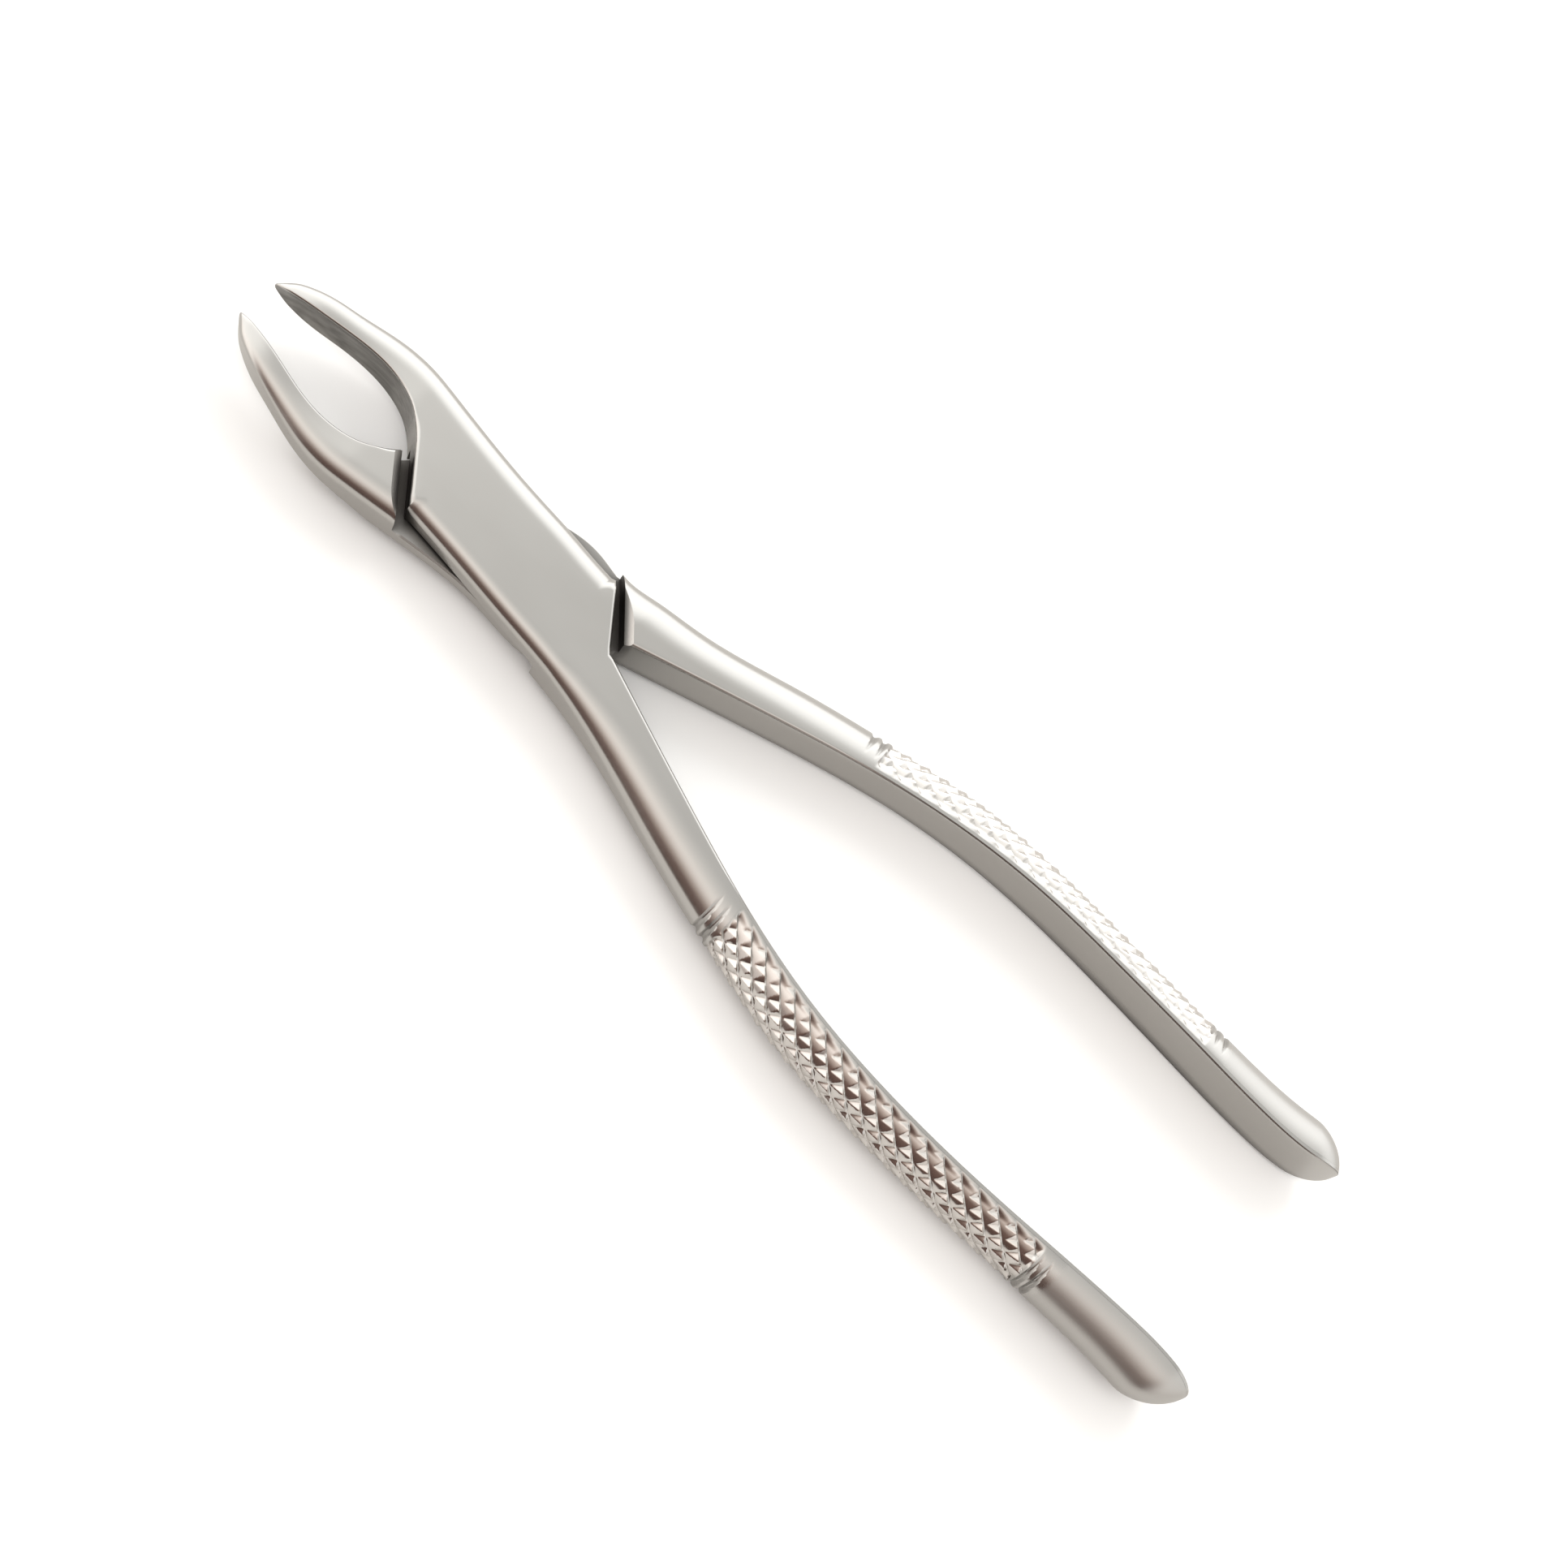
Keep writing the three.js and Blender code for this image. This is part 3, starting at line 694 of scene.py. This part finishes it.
def satin_steel(name, light, dark, smooth, rough):
    """Satin steel: lengthwise lines, a brighter knurl, matt ends, painted shade where sheltered and on the
    beak's face.
    """
    material, nodes, links, shader = new_material(name)
    shader.inputs["Metallic"].default_value = 1.0
    shader.inputs["Specular IOR Level"].default_value = 0.5
    patches = noise(nodes, links, *PATCH_NOISE)
    lines = noise(nodes, links, *LINE_NOISE)
    waves = noise(nodes, links, *WAVE_NOISE)
    pits = noise(nodes, links, *PIT_NOISE)
    knurled, gripping = share_of(nodes, "knurled"), share_of(nodes, "gripping")

    tone = mix_colour(nodes, links, remap(nodes, links, patches, 0, 1), dark, light)
    # Painted shade on the beak's inner face, darker in lengthwise streaks
    painted_hollow_shade_tone = mix_colour(nodes, links, remap(nodes, links, waves, 0, 1),
                           tuple(channel * GRIPPING_SHADE_TONES[0] for channel in dark),
                           tuple(channel * GRIPPING_SHADE_TONES[1] for channel in light))
    tone = mix_colour(nodes, links, gripping, tone, painted_hollow_shade_tone)
    tone = mix_colour(nodes, links, knurled, tone, KNURL_TONE)
    # Painted shade: ambient occlusion darkens the colour in creases and gaps, and adds roughness there
    shelter = nodes.new("ShaderNodeAmbientOcclusion")
    shelter.samples = SHELTER_SAMPLES
    shelter.inputs["Distance"].default_value = SHELTER_REACH
    power = blend_value(nodes, links, knurled, SHELTER_POWER, KNURL_SHELTER_POWER)
    open_share = math_node(nodes, links, "POWER", shelter.outputs["AO"], power)
    painted_crevice_shade = math_node(nodes, links, "SUBTRACT", 1.0, open_share)
    links.new(mix_colour(nodes, links, painted_crevice_shade, tone, CREVICE_SHADE_COLOUR), shader.inputs["Base Color"])

    blasted = math_node(nodes, links, "MULTIPLY", share_of(nodes, "blasted"), END_EXTRA_ROUGHNESS)
    roughness = math_node(nodes, links, "ADD", remap(nodes, links, patches, smooth, rough), blasted)
    roughness = math_node(nodes, links, "ADD", roughness, remap(nodes, links, lines, *LINE_ROUGHNESS))
    roughness = blend_value(nodes, links, knurled, roughness, KNURL_ROUGHNESS)
    roughness = blend_value(nodes, links, gripping, roughness, GRIPPING_ROUGHNESS)
    dulled = math_node(nodes, links, "MULTIPLY", painted_crevice_shade, CREVICE_SHADE_ROUGHNESS)
    links.new(math_node(nodes, links, "ADD", roughness, dulled), shader.inputs["Roughness"])

    height = math_node(nodes, links, "ADD", lines, math_node(nodes, links, "MULTIPLY", pits, PIT_HEIGHT))
    gripping_waves = math_node(nodes, links, "MULTIPLY", waves, gripping)
    deep_waves = math_node(nodes, links, "MULTIPLY", gripping_waves, GRIPPING_WAVE_HEIGHT)
    bump = nodes.new("ShaderNodeBump")
    bump.inputs["Strength"].default_value = BUMP_STRENGTH
    bump.inputs["Distance"].default_value = BUMP_DEPTH
    links.new(math_node(nodes, links, "ADD", height, deep_waves), bump.inputs["Height"])
    links.new(bump.outputs["Normal"], shader.inputs["Normal"])
    return material


def floor_material():
    """Near white to the camera and darker in reflections, so the steel's side walls don't wash out."""
    material, nodes, links, shader = new_material("pale_floor")
    shader.inputs["Roughness"].default_value = FLOOR_ROUGHNESS
    shader.inputs["Specular IOR Level"].default_value = FLOOR_SPECULAR
    mottle = noise(nodes, links, *FLOOR_NOISE)
    pale = mix_colour(nodes, links, mottle, *FLOOR_TONES)
    path = nodes.new("ShaderNodeLightPath")
    links.new(mix_colour(nodes, links, path.outputs["Is Glossy Ray"], pale, FLOOR_IN_STEEL),
              shader.inputs["Base Color"])
    return material


# Camera: over the middle of the forceps, leaning towards +y, turned so that the beaks point up left

CAMERA_TARGET = Vector((-45.04, -4.34, -JOINT_HALF)) * MM
CAMERA_DISTANCE = 285 * MM
CAMERA_LEAN_Y = math.radians(22.73)
CAMERA_LEAN_X = math.radians(3.08)
CAMERA_LENS = 50.8
CAMERA_RIGHT = Vector((-0.71202, -0.633, 0.30388))
CAMERA_CLIP = (0.01, 20)


def add_camera():
    toward = Vector((
        math.sin(CAMERA_LEAN_X) * math.cos(CAMERA_LEAN_Y),
        math.sin(CAMERA_LEAN_Y),
        math.cos(CAMERA_LEAN_X) * math.cos(CAMERA_LEAN_Y),
    ))
    right = (CAMERA_RIGHT - toward * CAMERA_RIGHT.dot(toward)).normalized()
    up = toward.cross(right)
    data = bpy.data.cameras.new("camera")
    data.lens = CAMERA_LENS
    data.clip_start, data.clip_end = CAMERA_CLIP
    camera = bpy.data.objects.new("camera", data)
    camera.matrix_world = Matrix.Translation(CAMERA_TARGET + toward * CAMERA_DISTANCE) @ Matrix(
        (right, up, toward)).transposed().to_4x4()
    bpy.context.scene.collection.objects.link(camera)
    bpy.context.scene.camera = camera


# Light: a soft sky that is brightest low over -y. Low over +y it is warm and dark abreast of the shanks
# and pale far along x either way. The camera itself sees a plain pale backdrop in its place. Two large
# soft lamps light the floor.

# Degrees from overhead, positive towards +y, and the light's colour there
SKY_STOPS = [
    (-180, (0.72, 0.71, 0.69)),
    (-112, (1.20, 1.19, 1.17)),
    (-92, (1.80, 1.79, 1.77)),
    (-62, (1.90, 1.89, 1.87)),
    (-46, (1.62, 1.61, 1.59)),
    (-34, (0.98, 0.97, 0.94)),
    (-22, (0.78, 0.765, 0.735)),
    (-8, (0.78, 0.765, 0.74)),
    (8, (0.98, 0.95, 0.91)),
    (22, (1.26, 1.18, 1.12)),
    (32, (1.10, 1.00, 0.94)),
    (44, (0.60, 0.49, 0.43)),
    (58, (0.19, 0.12, 0.10)),
    (87, (0.10, 0.06, 0.05)),
    (93, (0.42, 0.40, 0.38)),
    (180, (0.72, 0.71, 0.69)),
]
SKY_FAR_STOPS = [
    (-180, (0.72, 0.71, 0.69)),
    (-100, (1.35, 1.34, 1.32)),
    (-62, (1.85, 1.84, 1.82)),
    (-40, (1.55, 1.54, 1.50)),
    (-22, (1.30, 1.28, 1.25)),
    (8, (1.30, 1.28, 1.24)),
    (36, (1.40, 1.34, 1.29)),
    (60, (1.35, 1.28, 1.22)),
    (84, (1.10, 1.02, 0.96)),
    (180, (0.72, 0.71, 0.69)),
]
SKY_PEAK = 1.9

# The near sky gives way to the far one by the x part of the direction, ahead and behind. On the -y side
# the change ahead comes sooner by the shift, which runs out over the overhead span. The light grows
# from the first side share at -reach to the second at +reach.
SKY_AHEAD_SPAN = (0.38, 0.6)
SKY_BEHIND_SPAN = (-0.56, -0.4)
SKY_OVERHEAD_SHIFT = 0.26
SKY_OVERHEAD_SPAN = (math.radians(-10), math.radians(25))
SKY_SIDE_REACH = 0.8
SKY_SIDE_SHARES = (0.72, 1.25)
BACKDROP_COLOUR = (0.98, 0.98, 0.975, 1)


def sky_ramp(nodes, links, share, stops):
    ramp = nodes.new("ShaderNodeValToRGB")
    ramp.color_ramp.interpolation = "LINEAR"
    elements = ramp.color_ramp.elements
    while len(elements) < len(stops):
        elements.new(0.5)
    for element, (degrees, colour) in zip(elements, stops):
        element.position = (degrees + 180) / 360
        element.color = (*[channel / SKY_PEAK for channel in colour], 1)
    links.new(share, ramp.inputs["Fac"])
    return ramp.outputs["Color"]


def add_sky():
    world = bpy.data.worlds.new("soft_sky")
    world.use_nodes = True
    bpy.context.scene.world = world
    nodes, links = world.node_tree.nodes, world.node_tree.links
    background = nodes["Background"]
    coordinates = nodes.new("ShaderNodeTexCoord")
    split = nodes.new("ShaderNodeSeparateXYZ")
    links.new(coordinates.outputs["Generated"], split.inputs[0])
    angle = math_node(nodes, links, "ARCTAN2", split.outputs["Y"], split.outputs["Z"])
    share = remap(nodes, links, angle, 0, 1, -math.pi, math.pi)
    overhead = remap(nodes, links, angle, SKY_OVERHEAD_SHIFT, 0, *SKY_OVERHEAD_SPAN)
    shifted = math_node(nodes, links, "ADD", split.outputs["X"], overhead)
    ahead = remap(nodes, links, shifted, 0, 1, *SKY_AHEAD_SPAN)
    behind = remap(nodes, links, split.outputs["X"], 1, 0, *SKY_BEHIND_SPAN)
    far = math_node(nodes, links, "MAXIMUM", ahead, behind)
    near_sky = sky_ramp(nodes, links, share, SKY_STOPS)
    far_sky = sky_ramp(nodes, links, share, SKY_FAR_STOPS)
    links.new(mix_colour(nodes, links, far, near_sky, far_sky), background.inputs["Color"])
    side = remap(nodes, links, split.outputs["X"], *SKY_SIDE_SHARES, -SKY_SIDE_REACH, SKY_SIDE_REACH)
    links.new(math_node(nodes, links, "MULTIPLY", side, SKY_PEAK), background.inputs["Strength"])
    backdrop = nodes.new("ShaderNodeBackground")
    backdrop.inputs["Color"].default_value = BACKDROP_COLOUR
    path = nodes.new("ShaderNodeLightPath")
    seen = nodes.new("ShaderNodeMixShader")
    links.new(path.outputs["Is Camera Ray"], seen.inputs["Fac"])
    links.new(background.outputs["Background"], seen.inputs[1])
    links.new(backdrop.outputs["Background"], seen.inputs[2])
    links.new(seen.outputs["Shader"], nodes["World Output"].inputs["Surface"])


# Each lamp: its name, place, size and power. Both point at the same place.
LAMPS = [("side_lamp", (-0.05, -0.6, 0.65), 0.4, 1.8), ("floor_lamp", (-0.2, 0.3, 1.4), 0.9, 4)]
LAMP_AIM = (-0.045, 0, 0)
FLOOR_REACH, FLOOR_DEPTH, FLOOR_DROP = 3.0, 0.02, 0.00005


def add_lamp(name, position, size, power):
    """A round lamp that neither the camera nor a reflection sees."""
    data = bpy.data.lights.new(name, "AREA")
    data.shape = "DISK"
    data.size = size
    data.energy = power
    lamp = bpy.data.objects.new(name, data)
    lamp.location = position
    lamp.rotation_euler = (Vector(LAMP_AIM) - Vector(position)).to_track_quat("-Z", "Y").to_euler()
    lamp.visible_camera = False
    lamp.visible_glossy = False
    bpy.context.scene.collection.objects.link(lamp)


def add_floor():
    reach = FLOOR_REACH
    outline = [(-reach, -reach), (reach, -reach), (reach, reach), (-reach, reach)]
    floor = mesh_object("floor", *prism(outline, -FLOOR_DEPTH, 0))
    floor.location.z = cad_low.z - FLOOR_DROP
    floor.data.materials.append(floor_material())


def dress(piece, node, body, material):
    piece.data.materials.clear()
    piece.data.materials.append(material)
    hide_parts(node)
    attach(piece, body)


add_camera()
forged_steel = satin_steel("forged_steel", *FORGED_FINISH)
screw_steel = satin_steel("screw_steel", *SCREW_FINISH)
dress(upper_forging(), "upper_half", "upper_body", forged_steel)
dress(lower_forging(), "lower_half", "lower_body", forged_steel)
dress(slotted_screw(), "pivot_screw", "upper_body", screw_steel)
add_floor()
add_sky()
for lamp_settings in LAMPS:
    add_lamp(*lamp_settings)
bpy.context.scene.view_settings.view_transform = "Standard"
